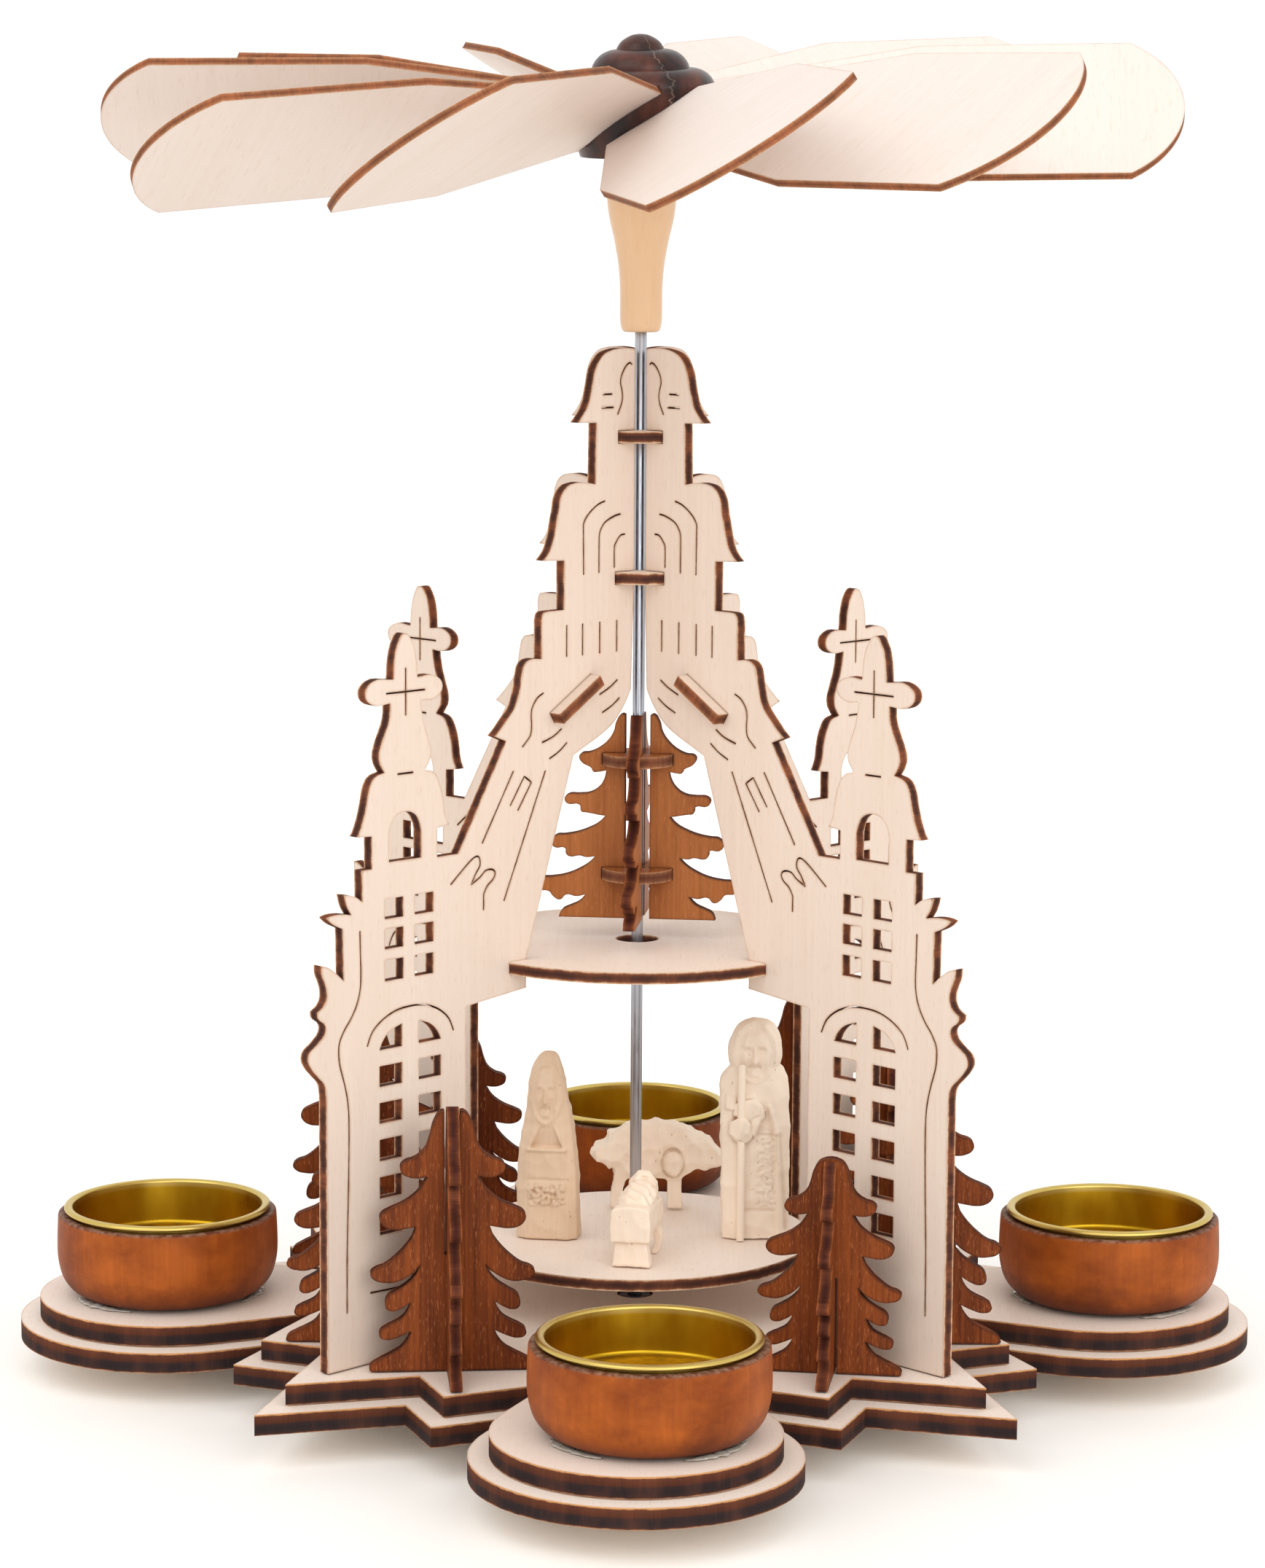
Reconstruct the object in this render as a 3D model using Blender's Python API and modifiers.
"""Candle carousel: a plywood pyramid stand whose rotor turns a stage of carved figures.

Four upright panels stand on a double star plate, with a cup for a tea light at each side.
A steel rod runs up the middle: it stands on a tip bearing and carries the stage,
a small tree and the hub with its ten blades.
Units are metres and +Z is up. The origin lies under the middle, on the table.
"""
import math

import bmesh
import bpy
from mathutils import Matrix, Vector

MM = 0.001
DEG = math.radians(1)

# Stock and fits
BOARD = 2.4 * MM
PLATE = 4.2 * MM
GAP = 0.3 * MM
OVERRUN = 5.0 * MM
WELD_REACH = 0.003 * MM

# Base: feet and the two star plates
FOOT_RISE = 7.0 * MM
FOOT_RADIUS = 6.5 * MM
STAR_REACH = 75.8 * MM
LOBE_STAND_OFF = 21.8 * MM
LOBE_PLACE = STAR_REACH + LOBE_STAND_OFF
LOBE_RADIUS = 27.8 * MM
PLATE_STEP = 4.05 * MM
WELL_RADIUS = 3.8 * MM

# Turned cups and their metal inserts
CUP_STAND_OUT = 1.0 * MM
CUP_PLACE = LOBE_PLACE + CUP_STAND_OUT
# How far along X a cup was glued off its middle
CUP_SHIFTS = {"front": 2.4 * MM, "right": 1.4 * MM}
CUP_RADIUS = 23.1 * MM
CUP_RISE = 17.35 * MM
INSERT_RADIUS = 20.4 * MM
INSERT_DEPTH = 8.9 * MM
INSERT_WALL = 0.6 * MM
RIM_HALF_WIDTH = 0.9 * MM
RIM_HALF_RISE = 0.62 * MM

# Upright panels, and what sits in their notches
PANEL_REACH = 86.7 * MM
PANEL_RISE = 199.0 * MM
SPINE_GAP = 0.7 * MM
DECK_BITE = 4.7 * MM
DECK_HOLE_RADIUS = 4.5 * MM
LOW_DISC_RADIUS = 8.2 * MM
HIGH_DISC_RADIUS = 7.5 * MM
SLAT_WIDTH = 13.4 * MM
SLAT_PROUD = 2.8 * MM
SLAT_SLOPE = -31.3 * DEG

# Trees on the base: seen from outside, each cup has a tall tree on its left and a small one on its right
TREE_REACH = 16.4 * MM
TREE_RISE = 52.3 * MM
TREE_NEAR = 37.2 * MM
TREE_TO_PANEL = 3.9 * MM
TREE_FAR = TREE_NEAR + TREE_REACH + TREE_TO_PANEL
SMALL_TREE_REACH = 14.4 * MM
SMALL_TREE_RISE = 42.8 * MM
SMALL_TREE_NEAR = 37.9 * MM
SMALL_TREE_FAR = SMALL_TREE_NEAR + SMALL_TREE_REACH + TREE_TO_PANEL
SMALL_TREES = ("front_right_inner", "back_right_outer", "back_left_inner", "front_left_outer")
# How a tree was glued off its place: its shift along X and along Y, and its turn
TREE_SEATS = {
    "front_left_inner": (1.0 * MM, -0.4 * MM, 5.0 * DEG),
    "front_right_inner": (0.2 * MM, -2.1 * MM, -8.5 * DEG),
    "back_left_outer": (-0.8 * MM, -6.2 * MM, 0.0),
}
FLAT_ENOUGH = 0.5 * DEG

# Turning parts on the rod
ROD_RADIUS = 1.2 * MM
ROD_TIP_RISE = 1.6 * MM
BEARING_RADIUS = 3.5 * MM
BEARING_RISE = 4.0 * MM
BEARING_FLOOR = 1.2 * MM
STAGE_RADIUS = 37.2 * MM
STAGE_LIFT = 10.5 * MM
TOP_TREE_REACH = 21.1 * MM
TOP_TREE_RISE = 43.0 * MM
TOP_TREE_LIFT = 80.6 * MM
TOP_TREE_BORE = 2.6 * MM
TOP_TREE_TURN = -6.5 * DEG
RING_RADIUS = 7.4 * MM
SLEEVE_RADIUS = 7.15 * MM
SLEEVE_RISE = 34.85 * MM
HUB_RADIUS = 15.0 * MM
HUB_RISE = 24.3 * MM
HUB_LIFT = 237.8 * MM
HUB_BORE_DEPTH = 8.0 * MM
HUB_LEAN = 3.96 * DEG
HUB_LEAN_AXIS_TURN = -20.6 * DEG

# Blades
BLADE_COUNT = 10
BLADE_BOARD = 1.6 * MM
BLADE_ROOT = 13.0 * MM
BLADE_TONGUE = 1.4 * MM
BLADE_TONGUE_WIDTH = 5.6 * MM
BLADE_ROOT_WIDTH = 22.0 * MM
BLADE_WIDTH = 44.8 * MM
BLADE_SHOULDER = 56.3 * MM
BLADE_CORNER = 98.8 * MM
BLADE_TIP = 109.5 * MM
BLADE_PITCH = 31.5 * DEG
BLADE_START = -78.1 * DEG
BLADE_MID_SHARE = 0.323
# How each blade was glued into its slot: its turn, its extra pitch, its droop,
# and how far it stands out
BLADE_SEATS = {
    0: (-0.6 * DEG, -1.1 * DEG, 0.0, -0.1 * MM),
    1: (-5.9 * DEG, -1.8 * DEG, -1.0 * DEG, 2.9 * MM),
    2: (0.1 * DEG, 0.5 * DEG, 0.0, -0.25 * MM),
    7: (9.8 * DEG, 0.6 * DEG, -1.0 * DEG, -0.6 * MM),
    8: (-2.8 * DEG, -0.5 * DEG, 2.0 * DEG, -0.6 * MM),
    9: (-0.7 * DEG, 0.2 * DEG, 0.0, -1.2 * MM),
}

# Carved figures: where each stands, in parts of the stage's radius, its width, depth and rise
STAGE_SHARE = 37.2
WOMAN_PLACE_SHARES = (-18.1, -2.0)
WOMAN_WIDTH = 12.7 * MM
WOMAN_DEPTH = 8.5 * MM
WOMAN_RISE = 39.3 * MM
MAN_PLACE_SHARES = (25.0, -1.1)
MAN_WIDTH = 14.6 * MM
MAN_DEPTH = 8.5 * MM
MAN_RISE = 46.3 * MM
FIST_WIDTH = 5.0 * MM
FIST_DEPTH = 3.4 * MM
FIST_RISE = 6.0 * MM
FIST_BITE = 0.6 * MM
FIST_ROUNDING = 0.85 * MM
STAFF_RADIUS = 0.8 * MM
STAFF_RISE = 37.6 * MM
ANIMAL_PLACE_SHARES = (0.7, 22.7)
ANIMAL_LENGTH = 27.1 * MM
ANIMAL_DEPTH = 8.0 * MM
ANIMAL_RISE = 19.6 * MM
ANIMAL_LEG_GAP = 2.4 * MM
MANGER_PLACE_SHARES = (0.4, -20.9)
MANGER_WIDTH = 8.3 * MM
MANGER_LENGTH = 17.0 * MM
MANGER_RISE = 17.2 * MM
MANGER_TURN = -11.0 * DEG

# Heights that follow from the sizes above
LOWER_PLATE_Z = FOOT_RISE + GAP
UPPER_PLATE_Z = LOWER_PLATE_Z + PLATE + GAP
PLATE_TOP = UPPER_PLATE_Z + PLATE
STAND_Z = PLATE_TOP + GAP
STAGE_Z = PLATE_TOP + STAGE_LIFT
FIGURE_Z = STAGE_Z + BOARD + GAP
TOP_TREE_Z = PLATE_TOP + TOP_TREE_LIFT
HUB_Z = PLATE_TOP + HUB_LIFT
BEARING_Z = UPPER_PLATE_Z
ROD_Z = BEARING_Z + BEARING_FLOOR + GAP
SLEEVE_TOP = HUB_Z - GAP - SLEEVE_RADIUS * math.tan(HUB_LEAN)
SPINE_RADIUS = max(BOARD / 2, ROD_RADIUS) + SPINE_GAP
PIN_HOLE_RADIUS = ROD_RADIUS + GAP

# Facets of round pieces
CUP_STEPS = 24
SMALL_STEPS = 18
FOOT_STEPS = 16
ROD_STEPS = 14
DISC_STEPS = 40
LOBE_STEPS = 16
BLADE_TIP_STEPS = 8
RIM_STEPS = 5
RIM_CROWN = 70 * DEG
RIM_SWEEP = 220 * DEG

# Outline tables. Points run as (out, up); a third entry marks a corner, the others are smooth.
# The panel's reach counts as 86.7 parts and its rise above the plate as 199 parts.
PANEL_SHARES = (86.7, 199.0)
CORNER = "corner"
PANEL_EDGE_SHARES = (
    (5.5, 199.0), (9.2, 198.7), (12.0, 197.6), (14.1, 194.8), (15.2, 190.5), (17.0, 186.4),
    (19.0, 184.3, CORNER), (13.75, 184.1, CORNER), (14.0, 171.7, CORNER),
    (16.9, 172.2), (19.7, 172.2), (22.4, 171.2), (24.1, 168.0), (25.1, 163.6), (26.4, 159.6),
    (28.6, 157.0, CORNER), (22.7, 156.7, CORNER), (22.7, 146.7, CORNER),
    (27.8, 146.7, CORNER), (29.0, 145.0, CORNER), (29.0, 137.2, CORNER),
    (32.3, 137.2), (34.1, 135.4), (35.2, 131.0), (37.2, 126.8),
    (41.8, 122.6, CORNER), (38.8, 121.4, CORNER), (51.8, 100.0, CORNER),
    (57.6, 100.0, CORNER), (57.6, 105.8, CORNER),
    (54.4, 106.2, CORNER), (55.8, 109.6), (56.9, 114.8), (58.5, 117.2), (60.8, 117.8, CORNER),
    (59.4, 119.8, CORNER), (59.6, 122.9), (61.1, 127.2), (62.0, 131.7, CORNER),
    (57.6, 131.8, CORNER), (56.1, 134.0), (57.6, 136.2, CORNER),
    (62.8, 136.3, CORNER), (63.5, 141.6), (66.1, 145.2), (68.5, 141.6), (69.0, 136.3, CORNER),
    (75.0, 136.2, CORNER), (76.4, 134.0), (75.0, 131.8, CORNER), (69.9, 131.7, CORNER),
    (70.9, 126.6), (72.7, 122.2), (72.5, 119.9), (71.4, 118.2, CORNER),
    (74.0, 117.4), (75.5, 115.0), (76.7, 110.2), (78.6, 106.2, CORNER),
    (74.8, 106.0, CORNER), (74.8, 99.5, CORNER), (77.4, 99.5, CORNER), (77.3, 93.3, CORNER),
    (79.5, 94.5), (82.0, 95.2, CORNER), (81.3, 92.9), (80.2, 91.1, CORNER),
    (83.4, 91.4), (86.5, 91.2, CORNER), (85.0, 89.8), (82.4, 88.6, CORNER),
    (82.2, 78.3, CORNER),
    (84.5, 80.3), (87.9, 82.0, CORNER), (87.4, 79.2), (86.5, 76.3), (87.0, 74.3),
    (89.0, 72.9, CORNER), (88.6, 71.5), (86.9, 69.4), (88.4, 67.1), (91.4, 64.2),
    (89.6, 60.9), (87.3, 58.4), (86.7, 56.0, CORNER), (86.7, 0.0, CORNER),
    (49.8, 0.0, CORNER), (49.8, 68.8, CORNER), (33.2, 70.4, CORNER), (33.2, 76.6, CORNER),
    (20.0, 116.8, CORNER), (16.4, 118.4), (10.8, 121.0), (6.4, 124.6), (3.5, 129.0, CORNER),
)
SPINE_FROM_SHARE = 149.0
SPINE_TO_SHARE = 198.7
BELFRY_WINDOW_SHARES = (
    (61.8, 100.4, CORNER), (61.8, 105.8, CORNER), (63.0, 108.8), (66.1, 110.0), (69.2, 108.8),
    (70.4, 105.8, CORNER), (70.4, 100.4, CORNER),
)
LEFT_ARCH_SHARES = ((56.6, 63.2, CORNER), (59.3, 66.5), (62.6, 67.8, CORNER), (62.6, 63.2, CORNER))
RIGHT_ARCH_SHARES = ((67.0, 63.2, CORNER), (67.0, 67.8, CORNER), (70.3, 66.5), (73.0, 63.2, CORNER))
HIGH_PANE_COLUMN_SHARES = ((58.6, 63.6), (66.6, 71.5))
HIGH_PANE_ROW_SHARES = ((76.8, 81.0), (83.2, 87.2), (89.2, 93.2))
LOW_PANE_COLUMN_SHARES = ((56.6, 62.6), (67.0, 73.0))
LOW_PANE_ROW_SHARES = ((25.8, 30.2), (33.2, 37.6), (40.8, 45.2), (48.4, 52.6), (55.8, 60.0))
# Places that follow the panels, in the same parts
DECK_INNER_SHARE = 33.2
DECK_UP_SHARE = 73.8
LOW_DISC_UP_SHARE = 151.0
HIGH_DISC_UP_SHARE = 179.8
SLAT_PLACE_SHARES = (20.25, 128.5)

# Half of a base tree: reach 16.4 parts, rise 52.3 parts
TREE_SHARES = (16.4, 52.3)
TREE_EDGE_SHARES = (
    (2.2, 52.3, CORNER), (5.0, 45.8), (9.8, 42.0), (9.6, 39.5), (5.0, 39.2, CORNER),
    (5.6, 38.2, CORNER), (8.6, 34.7), (14.2, 31.6), (12.8, 28.8), (7.2, 29.2, CORNER),
    (8.0, 27.0, CORNER), (11.5, 23.0), (16.1, 20.3), (14.6, 18.0), (6.4, 21.5, CORNER),
    (7.2, 19.6, CORNER), (11.0, 16.4), (13.3, 14.1), (11.9, 12.1), (8.3, 13.9, CORNER),
    (8.8, 12.4, CORNER), (11.5, 9.9), (14.5, 7.6), (12.6, 6.4), (8.2, 8.1, CORNER),
    (8.8, 6.6, CORNER), (12.0, 3.7), (16.3, 1.1), (16.0, 0.0, CORNER),
)

# One board of the top tree: reach 21.1 parts, rise 43 parts
TOP_TREE_SHARES = (21.1, 43.0)
TOP_TREE_TIP_SHARE = 42.8
TOP_TREE_EDGE_SHARES = (
    (3.3, 43.0, CORNER), (5.0, 39.3), (8.2, 35.7), (12.2, 33.7), (11.0, 31.9),
    (6.6, 31.0, CORNER), (8.3, 27.5), (12.3, 26.0), (15.2, 24.9), (12.2, 23.2),
    (6.7, 21.5, CORNER), (9.6, 19.1), (15.3, 17.4), (18.1, 15.8), (15.0, 13.8),
    (8.8, 12.9, CORNER), (12.3, 10.1), (18.0, 8.4), (21.1, 7.0), (17.6, 4.5),
    (10.8, 4.8, CORNER), (13.4, 2.7), (16.4, 0.0, CORNER),
)
RING_UP_SHARES = (8.3, 32.3)

# The star between the lobes, for one eighth of the plate, from the lobe's neck to the diagonal.
# The star's reach counts as 75.8 parts.
STAR_SHARE = 75.8
STAR_EDGE_SHARES = ((66.9, 17.0), (75.8, 37.2), (61.8, 42.6), (68.4, 68.4))

# Turned profiles run down the outer side: (radius, height) as shares of radius and rise
FOOT_PROFILE_SHARES = ((0.0, 1.0), (0.94, 1.0), (1.0, 0.7), (0.95, 0.25), (0.6, 0.0), (0.0, 0.0))
CUP_PROFILE_SHARES = (
    (0.965, 1.0), (0.991, 0.96), (1.0, 0.62), (0.99, 0.4),
    (0.94, 0.22), (0.85, 0.08), (0.71, 0.0), (0.0, 0.0),
)
SLEEVE_PROFILE_SHARES = (
    (1.0, 1.0), (0.98, 0.76), (0.91, 0.65), (0.785, 0.54), (0.66, 0.395),
    (0.6, 0.255), (0.595, 0.06), (0.5, 0.0),
)
HUB_PROFILE_SHARES = (
    (0.0, 1.0), (0.18, 0.975), (0.3, 0.925), (0.345, 0.87),
    (0.45, 0.858), (0.58, 0.82), (0.655, 0.76), (0.67, 0.715),
    (0.8, 0.7), (0.93, 0.65), (1.0, 0.568), (0.975, 0.37), (0.91, 0.15), (0.84, 0.0), (0.0, 0.0),
)

# Carved figures: front outlines as shares of width and rise, side outlines of depth and rise
WOMAN_FRONT_SHARES = (
    (-0.49, 0.0, CORNER), (-0.5, 0.38), (-0.41, 0.62), (-0.355, 0.72), (-0.32, 0.85),
    (-0.24, 0.94), (-0.09, 0.995), (0.07, 0.995), (0.18, 0.94), (0.24, 0.85),
    (0.29, 0.71, CORNER), (0.345, 0.68), (0.41, 0.53), (0.45, 0.36), (0.5, 0.0, CORNER),
)
WOMAN_SIDE_SHARES = (
    (-0.46, 0.0, CORNER), (-0.46, 0.48, CORNER), (-0.5, 0.5, CORNER), (-0.34, 0.62, CORNER),
    (-0.42, 0.66, CORNER), (-0.46, 0.75), (-0.4, 0.85), (-0.22, 0.96), (0.02, 1.0),
    (0.28, 0.95), (0.43, 0.82), (0.48, 0.6), (0.5, 0.3), (0.5, 0.0, CORNER),
)
MAN_FRONT_SHARES = (
    (-0.46, 0.0, CORNER), (-0.48, 0.4), (-0.505, 0.68), (-0.48, 0.73, CORNER),
    (-0.345, 0.785, CORNER), (-0.39, 0.85), (-0.33, 0.92), (-0.22, 0.972), (-0.05, 1.0),
    (0.1, 0.998), (0.25, 0.97), (0.34, 0.91), (0.365, 0.845), (0.33, 0.78, CORNER),
    (0.45, 0.735, CORNER), (0.475, 0.68), (0.48, 0.4), (0.49, 0.0, CORNER),
)
MAN_SIDE_SHARES = (
    (-0.5, 0.0, CORNER), (-0.5, 0.66), (-0.44, 0.74), (-0.36, 0.78, CORNER), (-0.44, 0.8),
    (-0.46, 0.88), (-0.36, 0.95), (-0.05, 1.0), (0.28, 0.96), (0.44, 0.88),
    (0.42, 0.79, CORNER), (0.48, 0.73), (0.5, 0.6), (0.5, 0.0, CORNER),
)
FIST_PLACE_SHARES = (-0.21, 0.515)
STAFF_PLACE_SHARE = -0.21
ANIMAL_FRONT_SHARES = (
    (-0.22, 0.0, CORNER), (-0.23, 0.14), (-0.203, 0.3), (-0.19, 0.48, CORNER),
    (-0.345, 0.55, CORNER), (-0.345, 0.62), (-0.25, 0.74), (-0.21, 0.84), (-0.1, 0.94),
    (0.06, 0.99), (0.22, 0.99), (0.3, 0.94), (0.41, 0.88), (0.52, 0.8), (0.6, 0.7),
    (0.645, 0.6), (0.635, 0.53, CORNER), (0.48, 0.47), (0.34, 0.37, CORNER),
    (0.345, 0.0, CORNER), (0.265, 0.0, CORNER), (0.265, 0.34, CORNER),
    (0.1, 0.36), (-0.08, 0.34, CORNER), (-0.13, 0.16), (-0.12, 0.0, CORNER),
)
ANIMAL_SIDE_SHARES = (
    (-0.4, 0.0, CORNER), (-0.42, 0.3), (-0.5, 0.55), (-0.42, 0.85), (-0.15, 1.0),
    (0.15, 1.0), (0.42, 0.85), (0.5, 0.55), (0.42, 0.3), (0.4, 0.0, CORNER),
)
ANIMAL_LEG_RISE_SHARE = 0.33
MANGER_FRONT_SHARES = (
    (-0.5, 0.0, CORNER), (-0.46, 0.14), (-0.42, 0.31, CORNER), (-0.5, 0.33, CORNER),
    (-0.5, 0.64), (-0.42, 0.72), (-0.4, 0.82), (-0.2, 0.95), (0.0, 1.0), (0.2, 0.95),
    (0.4, 0.82), (0.42, 0.72), (0.5, 0.64), (0.5, 0.33, CORNER), (0.42, 0.31, CORNER),
    (0.46, 0.14), (0.5, 0.0, CORNER),
)
MANGER_SIDE_SHARES = (
    (-0.5, 0.0, CORNER), (-0.5, 0.68), (-0.44, 0.72, CORNER), (-0.28, 0.72, CORNER),
    (-0.16, 0.83), (0.08, 0.87), (0.2, 0.97), (0.34, 1.0), (0.46, 0.9), (0.5, 0.7, CORNER),
    (0.42, 0.3, CORNER), (0.5, 0.0, CORNER), (0.34, 0.0, CORNER), (0.22, 0.3, CORNER),
    (-0.26, 0.3, CORNER), (-0.26, 0.0, CORNER),
)

# Colours (linear), roughness and metallic value of each stock
FINISHES = {
    "pale_plywood": ((0.80, 0.67, 0.53), 0.6, 0.0),
    "stained_plywood": ((0.30, 0.09, 0.03), 0.55, 0.0),
    "stained_cup": ((0.42, 0.11, 0.04), 0.45, 0.0),
    "brass_sheet": ((0.62, 0.42, 0.05), 0.3, 1.0),
    "steel_rod": ((0.45, 0.47, 0.5), 0.3, 1.0),
    "dark_hub": ((0.05, 0.02, 0.02), 0.35, 0.0),
    "pale_turning": ((0.75, 0.48, 0.28), 0.5, 0.0),
    "carved_wood": ((0.83, 0.66, 0.48), 0.7, 0.0),
    "black_bearing": ((0.02, 0.02, 0.02), 0.5, 0.0),
}


def clear_scene():
    for piece in list(bpy.data.objects):
        bpy.data.objects.remove(piece, do_unlink=True)


def make_collection(name):
    collection = bpy.data.collections.new(name)
    bpy.context.scene.collection.children.link(collection)
    return collection


def make_finish(name):
    colour, roughness, metallic = FINISHES[name]
    finish = bpy.data.materials.new(name)
    finish.use_nodes = True
    shader = finish.node_tree.nodes["Principled BSDF"]
    shader.inputs["Base Color"].default_value = (*colour, 1.0)
    shader.inputs["Roughness"].default_value = roughness
    shader.inputs["Metallic"].default_value = metallic
    return finish


clear_scene()
PARTS = make_collection("candle_carousel")
CUTTERS = make_collection("cutters")
FINISH = {name: make_finish(name) for name in FINISHES}
AXIS = bpy.data.objects.new("carousel_axis", None)
PARTS.objects.link(AXIS)


def add_piece(name, mesh, finish, place=None, turning=False):
    """Put a mesh in the scene as one named piece, on the rod's axis where it turns."""
    piece = bpy.data.objects.new(name, mesh)
    PARTS.objects.link(piece)
    if not mesh.materials:
        mesh.materials.append(FINISH[finish])
    piece.matrix_world = place or Matrix()
    if turning:
        piece.parent = AXIS
    return piece


def add_cutter(name, mesh, place=None):
    cutter = bpy.data.objects.new(name, mesh)
    CUTTERS.objects.link(cutter)
    cutter.matrix_world = place or Matrix()
    cutter.hide_render = True
    cutter.display_type = "WIRE"
    return cutter


def combine(piece, other, operation="DIFFERENCE"):
    modifier = piece.modifiers.new(other.name, "BOOLEAN")
    modifier.operation = operation
    modifier.solver = "EXACT"
    modifier.object = other


def finished_mesh(piece):
    """The piece's mesh with its modifiers applied, for copies that share it."""
    graph = bpy.context.evaluated_depsgraph_get()
    return bpy.data.meshes.new_from_object(piece.evaluated_get(graph))


def turn_z(angle):
    return Matrix.Rotation(angle, 4, "Z")


def moved(x, y, z):
    return Matrix.Translation((x, y, z))


UPRIGHT = Matrix.Rotation(90 * DEG, 4, "X")
SIDEWAYS = turn_z(90 * DEG) @ UPRIGHT


def sized(shares, across, up):
    """Turn rows of shares into points, and keep each corner's mark."""
    return [(row[0] * across, row[1] * up, *row[2:]) for row in shares]


def corners(points):
    return [(x, y, CORNER) for x, y in points]


def circle(radius, steps):
    turns = [2 * math.pi * k / steps for k in range(steps)]
    return corners((radius * math.cos(turn), radius * math.sin(turn)) for turn in turns)


def box_outline(low_x, low_y, high_x, high_y):
    return corners(((low_x, low_y), (high_x, low_y), (high_x, high_y), (low_x, high_y)))


def board_mesh(name, outlines, thickness, smooth_steps=1):
    """A flat board: filled outlines, the first the edge and the others its holes."""
    curve = bpy.data.curves.new(name, "CURVE")
    curve.dimensions = "2D"
    curve.fill_mode = "BOTH"
    curve.extrude = thickness / 2
    curve.resolution_u = smooth_steps
    for outline in outlines:
        spline = curve.splines.new("BEZIER")
        spline.bezier_points.add(len(outline) - 1)
        spline.use_cyclic_u = True
        for point, row in zip(spline.bezier_points, outline):
            point.co = (row[0], row[1], 0)
            kind = "VECTOR" if CORNER in row else "AUTO"
            point.handle_left_type = kind
            point.handle_right_type = kind
    holder = bpy.data.objects.new(name, curve)
    CUTTERS.objects.link(holder)
    mesh = finished_mesh(holder)
    mesh.name = name
    bpy.data.objects.remove(holder, do_unlink=True)
    weld = bmesh.new()
    weld.from_mesh(mesh)
    bmesh.ops.remove_doubles(weld, verts=weld.verts, dist=WELD_REACH)
    bmesh.ops.recalc_face_normals(weld, faces=weld.faces)
    weld.to_mesh(mesh)
    weld.free()
    mesh.materials.clear()
    return mesh


def turned_mesh(name, profile, steps, closed=False):
    """A profile in the XZ plane, swept once round by the Screw modifier."""
    count = len(profile)
    edges = [(k, k + 1) for k in range(count - 1)]
    if closed:
        edges.append((count - 1, 0))
    line = bpy.data.meshes.new(name)
    line.from_pydata([(radius, 0, z) for radius, z in profile], edges, [])
    holder = bpy.data.objects.new(name, line)
    CUTTERS.objects.link(holder)
    screw = holder.modifiers.new("turning", "SCREW")
    screw.steps = steps
    screw.render_steps = steps
    screw.use_merge_vertices = True
    screw.merge_threshold = WELD_REACH
    mesh = finished_mesh(holder)
    mesh.name = name
    bpy.data.objects.remove(holder, do_unlink=True)
    mesh.shade_smooth()
    mesh.set_sharp_from_angle(angle=40 * DEG)
    return mesh


def cylinder_mesh(name, radius, low, high, steps):
    return turned_mesh(name, [(0, high), (radius, high), (radius, low), (0, low)], steps)


# Base plates

def offset_corner(before, corner, after, step):
    """Where the two edges that meet at a corner cross, once both have moved out by a step."""
    here = Vector(corner)
    first = (here - Vector(before)).normalized()
    second = (Vector(after) - here).normalized()
    first_out = Vector((first.y, -first.x))
    second_out = Vector((second.y, -second.x))
    along = (first_out + second_out).normalized()
    return tuple(here + along * step / along.dot(first_out))


def star_outline(step):
    """A star with four round lobes, its whole edge moved out by a step."""
    unit = STAR_REACH / STAR_SHARE
    half = [(x * unit, y * unit) for x, y in STAR_EDGE_SHARES]
    neck = half[0]
    away = (neck[0] - LOBE_PLACE, neck[1])
    spread = math.atan2(away[1], away[0]) - math.acos(LOBE_RADIUS / math.hypot(*away))
    touch = (LOBE_PLACE + LOBE_RADIUS * math.cos(spread), LOBE_RADIUS * math.sin(spread))
    mirrored = [(y, x) for x, y in reversed(half[:-1])]
    run = half + mirrored
    chain = [touch] + run + [(touch[1], touch[0])]
    quarter = []
    for k in range(-LOBE_STEPS // 2, LOBE_STEPS // 2 + 1):
        turn = 2 * spread * k / LOBE_STEPS
        radius = LOBE_RADIUS + step
        quarter.append((LOBE_PLACE + radius * math.cos(turn), radius * math.sin(turn)))
    for k in range(1, len(chain) - 1):
        quarter.append(offset_corner(chain[k - 1], chain[k], chain[k + 1], step))
    points = []
    for k in range(4):
        spin = turn_z(90 * DEG * k)
        points += [tuple((spin @ Vector((x, y, 0))).xy) for x, y in quarter]
    return corners(points)


def make_plates():
    lower = board_mesh("lower_base_plate", [star_outline(PLATE_STEP)], PLATE)
    add_piece("lower_base_plate", lower, "pale_plywood", moved(0, 0, LOWER_PLATE_Z + PLATE / 2))
    well = circle(WELL_RADIUS, SMALL_STEPS)
    upper = board_mesh("upper_base_plate", [star_outline(0), well], PLATE)
    add_piece("upper_base_plate", upper, "pale_plywood", moved(0, 0, UPPER_PLATE_Z + PLATE / 2))


SIDES = {"right": 0, "back": 1, "left": 2, "front": 3}


def make_feet():
    mesh = turned_mesh("foot", sized(FOOT_PROFILE_SHARES, FOOT_RADIUS, FOOT_RISE), FOOT_STEPS)
    for side, k in SIDES.items():
        add_piece(f"foot_{side}", mesh, "pale_turning", turn_z(90 * DEG * k) @ moved(LOBE_PLACE, 0, 0))


# Cups and inserts

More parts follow.
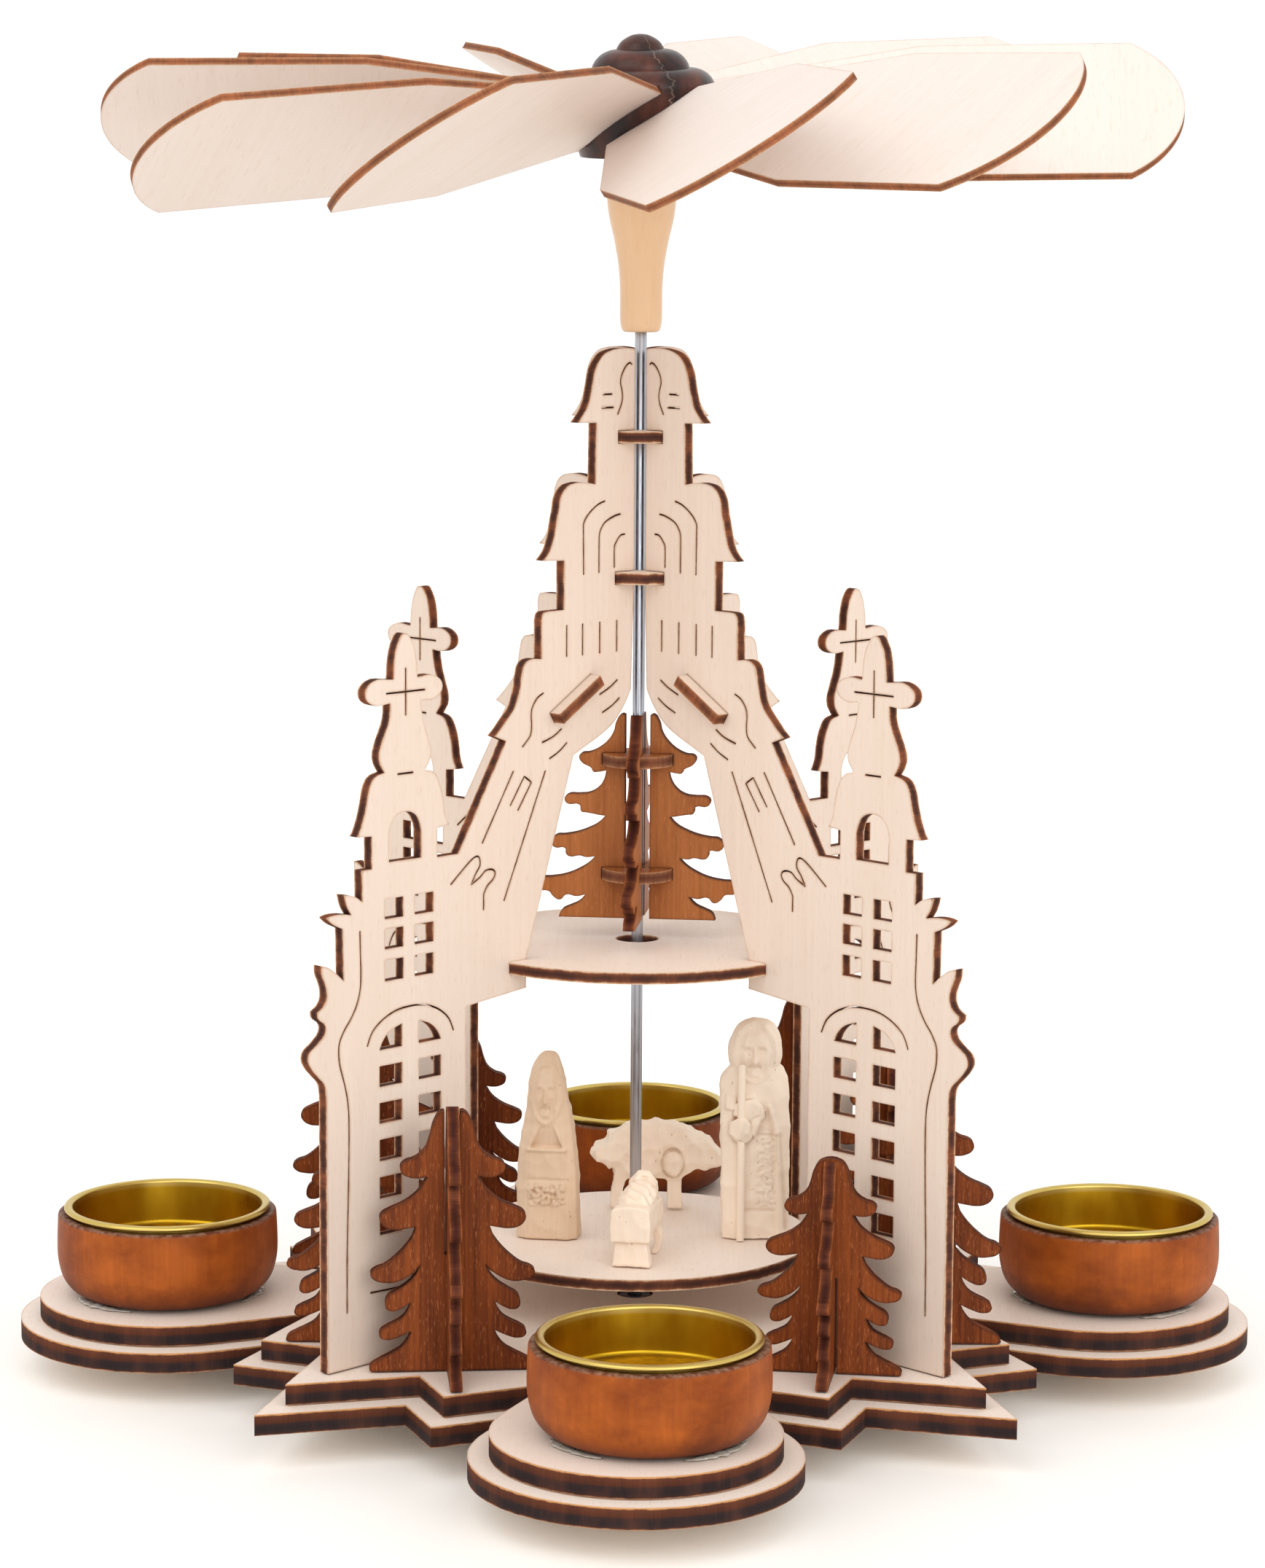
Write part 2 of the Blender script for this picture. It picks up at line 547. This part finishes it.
def insert_profile():
    """The metal cup from its floor up the inside, round the rolled rim and down the outside."""
    inner = INSERT_RADIUS - INSERT_WALL
    rim_z = CUP_RISE + GAP + RIM_HALF_RISE
    rim_x = (inner + INSERT_RADIUS) / 2 + RIM_HALF_WIDTH - INSERT_WALL / 2
    floor = CUP_RISE - INSERT_DEPTH
    profile = [(0, floor + INSERT_WALL), (inner, floor + INSERT_WALL)]
    for k in range(RIM_STEPS + 1):
        turn = RIM_SWEEP * (0.5 - k / RIM_STEPS) + RIM_CROWN
        profile.append((rim_x + RIM_HALF_WIDTH * math.cos(turn), rim_z + RIM_HALF_RISE * math.sin(turn)))
    profile.append((INSERT_RADIUS, rim_z - RIM_HALF_RISE))
    profile += [(INSERT_RADIUS, floor + INSERT_WALL), (inner, floor), (0, floor)]
    return profile


def make_cups():
    pocket = INSERT_RADIUS + GAP
    pocket_floor = CUP_RISE - INSERT_DEPTH - GAP
    profile = [(0, pocket_floor), (pocket, pocket_floor), (pocket, CUP_RISE)]
    profile += sized(CUP_PROFILE_SHARES, CUP_RADIUS, CUP_RISE)
    cup = turned_mesh("cup", profile, CUP_STEPS)
    insert = turned_mesh("cup_insert", insert_profile(), CUP_STEPS)
    for side, k in SIDES.items():
        place = moved(CUP_SHIFTS.get(side, 0), 0, STAND_Z) @ turn_z(90 * DEG * k) @ moved(CUP_PLACE, 0, 0)
        add_piece(f"cup_{side}", cup, "stained_cup", place)
        add_piece(f"cup_insert_{side}", insert, "brass_sheet", place)


# Panels, deck, discs and slats

PANEL_UNIT_OUT = PANEL_REACH / PANEL_SHARES[0]
PANEL_UNIT_UP = PANEL_RISE / PANEL_SHARES[1]
DECK_RADIUS = DECK_INNER_SHARE * PANEL_UNIT_OUT + DECK_BITE
DECK_Z = PLATE_TOP + DECK_UP_SHARE * PANEL_UNIT_UP
LOW_DISC_Z = PLATE_TOP + LOW_DISC_UP_SHARE * PANEL_UNIT_UP
HIGH_DISC_Z = PLATE_TOP + HIGH_DISC_UP_SHARE * PANEL_UNIT_UP
DISCS = {
    "middle_deck": (DECK_RADIUS, DECK_Z, DECK_HOLE_RADIUS, DISC_STEPS),
    "low_spire_disc": (LOW_DISC_RADIUS, LOW_DISC_Z, PIN_HOLE_RADIUS, SMALL_STEPS),
    "high_spire_disc": (HIGH_DISC_RADIUS, HIGH_DISC_Z, PIN_HOLE_RADIUS, SMALL_STEPS),
}


def panel_outlines():
    edge = [(SPINE_RADIUS, SPINE_TO_SHARE * PANEL_UNIT_UP, CORNER)]
    edge += sized(PANEL_EDGE_SHARES, PANEL_UNIT_OUT, PANEL_UNIT_UP)
    edge.append((SPINE_RADIUS, SPINE_FROM_SHARE * PANEL_UNIT_UP, CORNER))
    outlines = [edge]
    for shares in (BELFRY_WINDOW_SHARES, LEFT_ARCH_SHARES, RIGHT_ARCH_SHARES):
        outlines.append(sized(shares, PANEL_UNIT_OUT, PANEL_UNIT_UP))
    for columns, rows in (
        (HIGH_PANE_COLUMN_SHARES, HIGH_PANE_ROW_SHARES),
        (LOW_PANE_COLUMN_SHARES, LOW_PANE_ROW_SHARES),
    ):
        for left, right in columns:
            for low, high in rows:
                pane = box_outline(left, low, right, high)
                outlines.append(sized(pane, PANEL_UNIT_OUT, PANEL_UNIT_UP))
    return [[(x, y + GAP if y == 0 else y, *mark) for x, y, *mark in outline] for outline in outlines]


def make_stand():
    notches = []
    for name, (radius, low, hole, steps) in DISCS.items():
        mesh = board_mesh(name, [circle(radius, steps), circle(hole, SMALL_STEPS)], BOARD)
        add_piece(name, mesh, "pale_plywood", moved(0, 0, low + BOARD / 2))
        notch = cylinder_mesh(f"{name}_notch", radius + GAP, low - GAP, low + BOARD + GAP, steps)
        notches.append(add_cutter(f"{name}_notch", notch))
    panel = board_mesh("panel", panel_outlines(), BOARD)
    slat_length = BOARD + 2 * SLAT_PROUD
    half_width = SLAT_WIDTH / 2
    slat = board_mesh("slat", [box_outline(-half_width, -BOARD / 2, half_width, BOARD / 2)], slat_length)
    roomy = half_width + GAP
    slot = board_mesh("slot", [box_outline(-roomy, -BOARD / 2 - GAP, roomy, BOARD / 2 + GAP)], slat_length)
    slat_place = moved(SLAT_PLACE_SHARES[0] * PANEL_UNIT_OUT, SLAT_PLACE_SHARES[1] * PANEL_UNIT_UP, 0)
    slat_place = slat_place @ turn_z(SLAT_SLOPE)
    for name, k in {"back_right": 0, "back_left": 1, "front_left": 2, "front_right": 3}.items():
        place = moved(0, 0, PLATE_TOP) @ turn_z(45 * DEG + 90 * DEG * k) @ UPRIGHT
        piece = add_piece(f"panel_{name}", panel, "pale_plywood", place)
        for notch in notches:
            combine(piece, notch)
        combine(piece, add_cutter(f"slat_slot_{name}", slot, place @ slat_place))
        add_piece(f"slat_{name}", slat, "pale_plywood", place @ slat_place)


# Trees

def base_tree_mesh(name, reach, rise):
    """Two alike boards, crossed and joined."""
    right = sized(TREE_EDGE_SHARES, reach / TREE_SHARES[0], rise / TREE_SHARES[1])
    left = [(-x, y, *mark) for x, y, *mark in reversed(right)]
    board = board_mesh(f"{name}_board", [right + left], BOARD)
    first = add_cutter(f"{name}_across", board, UPRIGHT)
    second = add_cutter(f"{name}_along", board, SIDEWAYS)
    combine(first, second, "UNION")
    tree = finished_mesh(first)
    tree.name = name
    tree.transform(UPRIGHT)
    tree.materials.clear()
    flat = bmesh.new()
    flat.from_mesh(tree)
    bmesh.ops.dissolve_limit(flat, angle_limit=FLAT_ENOUGH, verts=flat.verts, edges=flat.edges)
    flat.to_mesh(tree)
    flat.free()
    return tree


def make_base_trees():
    tall = (base_tree_mesh("tall_base_tree", TREE_REACH, TREE_RISE), TREE_NEAR, TREE_FAR)
    small_mesh = base_tree_mesh("small_base_tree", SMALL_TREE_REACH, SMALL_TREE_RISE)
    small = (small_mesh, SMALL_TREE_NEAR, SMALL_TREE_FAR)
    for depth, y_sign in (("back", 1), ("front", -1)):
        for hand, x_sign in (("right", 1), ("left", -1)):
            for end in ("inner", "outer"):
                name = f"{depth}_{hand}_{end}"
                tree, near, far = small if name in SMALL_TREES else tall
                x, y = (near, far) if end == "inner" else (far, near)
                shift_x, shift_y, turn = TREE_SEATS.get(name, (0, 0, 0))
                place = moved(x_sign * x + shift_x, y_sign * y + shift_y, STAND_Z) @ turn_z(turn)
                add_piece(f"base_tree_{name}", tree, "stained_plywood", place)


def make_top_tree():
    unit_out = TOP_TREE_REACH / TOP_TREE_SHARES[0]
    unit_up = TOP_TREE_RISE / TOP_TREE_SHARES[1]
    outline = [(TOP_TREE_BORE, TOP_TREE_TIP_SHARE * unit_up, CORNER)]
    outline += sized(TOP_TREE_EDGE_SHARES, unit_out, unit_up)
    outline.append((TOP_TREE_BORE, 0, CORNER))
    board = board_mesh("top_tree_board", [outline], BOARD)
    notches = []
    for name, share in zip(("low_tree_ring", "high_tree_ring"), RING_UP_SHARES):
        low = TOP_TREE_Z + share * unit_up
        outlines = [circle(RING_RADIUS, SMALL_STEPS), circle(PIN_HOLE_RADIUS, ROD_STEPS)]
        mesh = board_mesh(name, outlines, BOARD)
        add_piece(name, mesh, "stained_plywood", moved(0, 0, low + BOARD / 2), turning=True)
        notch = cylinder_mesh(f"{name}_notch", RING_RADIUS + GAP, low - GAP, low + BOARD + GAP, SMALL_STEPS)
        notches.append(add_cutter(f"{name}_notch", notch))
    for side, k in SIDES.items():
        place = moved(0, 0, TOP_TREE_Z) @ turn_z(90 * DEG * k + TOP_TREE_TURN) @ UPRIGHT
        piece = add_piece(f"top_tree_{side}", board, "stained_plywood", place, turning=True)
        for notch in notches:
            combine(piece, notch)


# Rod, bearing, stage and sleeve

def make_spindle():
    top = HUB_Z + HUB_BORE_DEPTH - GAP
    tip = [(0, top), (ROD_RADIUS, top), (ROD_RADIUS, ROD_Z + ROD_TIP_RISE), (0, ROD_Z)]
    add_piece("rod", turned_mesh("rod", tip, ROD_STEPS), "steel_rod", turning=True)
    bore = PIN_HOLE_RADIUS
    cup = [
        (0, BEARING_FLOOR), (bore, BEARING_FLOOR + ROD_TIP_RISE), (bore, BEARING_RISE),
        (BEARING_RADIUS, BEARING_RISE), (BEARING_RADIUS, 0), (0, 0),
    ]
    add_piece("tip_bearing", turned_mesh("tip_bearing", cup, SMALL_STEPS), "black_bearing", moved(0, 0, BEARING_Z))
    stage = board_mesh("stage", [circle(STAGE_RADIUS, DISC_STEPS), circle(bore, ROD_STEPS)], BOARD)
    add_piece("stage", stage, "pale_plywood", moved(0, 0, STAGE_Z + BOARD / 2), turning=True)
    profile = sized(SLEEVE_PROFILE_SHARES, SLEEVE_RADIUS, SLEEVE_RISE) + [(bore, 0), (bore, SLEEVE_RISE)]
    sleeve = turned_mesh("sleeve", profile, SMALL_STEPS, closed=True)
    add_piece("sleeve", sleeve, "pale_turning", moved(0, 0, SLEEVE_TOP - SLEEVE_RISE), turning=True)


# Hub and blades

LEAN_AXIS = (math.cos(HUB_LEAN_AXIS_TURN), math.sin(HUB_LEAN_AXIS_TURN), 0)
HUB_PLACE = moved(0, 0, HUB_Z) @ Matrix.Rotation(HUB_LEAN, 4, LEAN_AXIS)


def blade_outline():
    half = BLADE_WIDTH / 2
    root = BLADE_ROOT_WIDTH / 2
    tongue = BLADE_TONGUE_WIDTH / 2
    tip_depth = BLADE_TIP - BLADE_CORNER
    radius = (half * half + tip_depth * tip_depth) / (2 * tip_depth)
    spread = math.asin(half / radius)
    centre = BLADE_TIP - radius
    tongue_end = BLADE_ROOT - BLADE_TONGUE
    points = [(tongue_end, -tongue), (BLADE_ROOT, -tongue), (BLADE_ROOT, -root), (BLADE_SHOULDER, -half)]
    for k in range(BLADE_TIP_STEPS + 1):
        turn = spread * (2 * k / BLADE_TIP_STEPS - 1)
        points.append((centre + radius * math.cos(turn), radius * math.sin(turn)))
    points += [(BLADE_SHOULDER, half), (BLADE_ROOT, root), (BLADE_ROOT, tongue), (tongue_end, tongue)]
    return corners(points)


def slot_outline():
    """The room that a blade's root and tongue take in the hub."""
    inner = BLADE_ROOT - BLADE_TONGUE - GAP
    step = BLADE_ROOT - GAP
    outer = HUB_RADIUS + OVERRUN
    tongue = BLADE_TONGUE_WIDTH / 2 + GAP
    root = BLADE_WIDTH / 2
    return corners((
        (inner, -tongue), (step, -tongue), (step, -root), (outer, -root),
        (outer, root), (step, root), (step, tongue), (inner, tongue),
    ))


def make_rotor():
    hub_mesh = turned_mesh("hub", sized(HUB_PROFILE_SHARES, HUB_RADIUS, HUB_RISE), CUP_STEPS)
    hub = add_piece("hub", hub_mesh, "dark_hub", HUB_PLACE, turning=True)
    bore = cylinder_mesh("hub_bore", PIN_HOLE_RADIUS, HUB_Z - OVERRUN, HUB_Z + HUB_BORE_DEPTH, ROD_STEPS)
    combine(hub, add_cutter("hub_bore", bore))
    blade = board_mesh("blade", [blade_outline()], BLADE_BOARD)
    slot = board_mesh("blade_slot", [slot_outline()], BLADE_BOARD + 2 * GAP)
    level = HUB_PLACE @ moved(0, 0, BLADE_MID_SHARE * HUB_RISE)
    for k in range(BLADE_COUNT):
        turn, twist, droop, stand_out = BLADE_SEATS.get(k, (0, 0, 0, 0))
        azimuth = BLADE_START + 2 * math.pi * k / BLADE_COUNT + turn
        place = level @ turn_z(azimuth) @ moved(stand_out, 0, 0)
        place = place @ Matrix.Rotation(droop, 4, "Y") @ Matrix.Rotation(BLADE_PITCH + twist, 4, "X")
        add_piece(f"blade_{k + 1}", blade, "pale_plywood", place, turning=True)
        combine(hub, add_cutter(f"blade_slot_{k + 1}", slot, place))


# Carved figures

def on_stage(place_shares):
    return [share * STAGE_RADIUS / STAGE_SHARE for share in place_shares]


def carved(name, front_shares, side_shares, size, place_shares, turn=0.0):
    """A block cut to a front outline and then to a side outline."""
    width, depth, rise = size
    front = board_mesh(f"{name}_front", [sized(front_shares, width, rise)], 2 * depth, smooth_steps=2)
    side = board_mesh(f"{name}_side", [sized(side_shares, depth, rise)], 2 * width, smooth_steps=2)
    front.transform(UPRIGHT)
    side.transform(SIDEWAYS)
    where = moved(*on_stage(place_shares), FIGURE_Z) @ turn_z(turn)
    piece = add_piece(name, front, "carved_wood", where, turning=True)
    combine(piece, add_cutter(f"{name}_side_cut", side, where), "INTERSECT")
    return piece


def cube_mesh(name, size):
    box = bmesh.new()
    bmesh.ops.create_cube(box, size=1, matrix=Matrix.Diagonal((*size, 1)))
    mesh = bpy.data.meshes.new(name)
    box.to_mesh(mesh)
    box.free()
    return mesh


def make_woman():
    size = (WOMAN_WIDTH, WOMAN_DEPTH, WOMAN_RISE)
    carved("woman", WOMAN_FRONT_SHARES, WOMAN_SIDE_SHARES, size, WOMAN_PLACE_SHARES)


def make_man():
    size = (MAN_WIDTH, MAN_DEPTH, MAN_RISE)
    man = carved("man", MAN_FRONT_SHARES, MAN_SIDE_SHARES, size, MAN_PLACE_SHARES)
    man_x, man_y = on_stage(MAN_PLACE_SHARES)
    chest_y = man_y - MAN_DEPTH / 2
    staff_x = man_x + STAFF_PLACE_SHARE * MAN_WIDTH
    staff_y = chest_y - GAP - STAFF_RADIUS
    fist_x = man_x + FIST_PLACE_SHARES[0] * MAN_WIDTH
    fist_y = chest_y - FIST_DEPTH / 2 + FIST_BITE
    fist_z = FIGURE_Z + FIST_PLACE_SHARES[1] * MAN_RISE
    fist_mesh = cube_mesh("fist", (FIST_WIDTH, FIST_DEPTH, FIST_RISE))
    fist = add_cutter("fist", fist_mesh, moved(fist_x, fist_y, fist_z))
    bevel = fist.modifiers.new("rounding", "BEVEL")
    bevel.width = FIST_ROUNDING
    combine(man, fist, "UNION")
    room = cylinder_mesh("staff_room", STAFF_RADIUS + GAP, FIGURE_Z - OVERRUN, FIGURE_Z + STAFF_RISE, ROD_STEPS)
    combine(man, add_cutter("staff_room", room, moved(staff_x, staff_y, 0)))
    staff = cylinder_mesh("staff", STAFF_RADIUS, 0, STAFF_RISE, ROD_STEPS)
    add_piece("staff", staff, "carved_wood", moved(staff_x, staff_y, FIGURE_Z), turning=True)


def make_animal():
    size = (ANIMAL_LENGTH, ANIMAL_DEPTH, ANIMAL_RISE)
    animal = carved("animal", ANIMAL_FRONT_SHARES, ANIMAL_SIDE_SHARES, size, ANIMAL_PLACE_SHARES)
    leg_rise = ANIMAL_LEG_RISE_SHARE * ANIMAL_RISE
    gap = cube_mesh("leg_gap", (2 * ANIMAL_LENGTH, ANIMAL_LEG_GAP, 2 * leg_rise))
    combine(animal, add_cutter("leg_gap", gap, moved(*on_stage(ANIMAL_PLACE_SHARES), FIGURE_Z)))


def make_manger():
    size = (MANGER_WIDTH, MANGER_LENGTH, MANGER_RISE)
    carved("manger", MANGER_FRONT_SHARES, MANGER_SIDE_SHARES, size, MANGER_PLACE_SHARES, MANGER_TURN)


make_plates()
make_feet()
make_cups()
make_stand()
make_base_trees()
make_top_tree()
make_spindle()
make_rotor()
make_woman()
make_man()
make_animal()
make_manger()
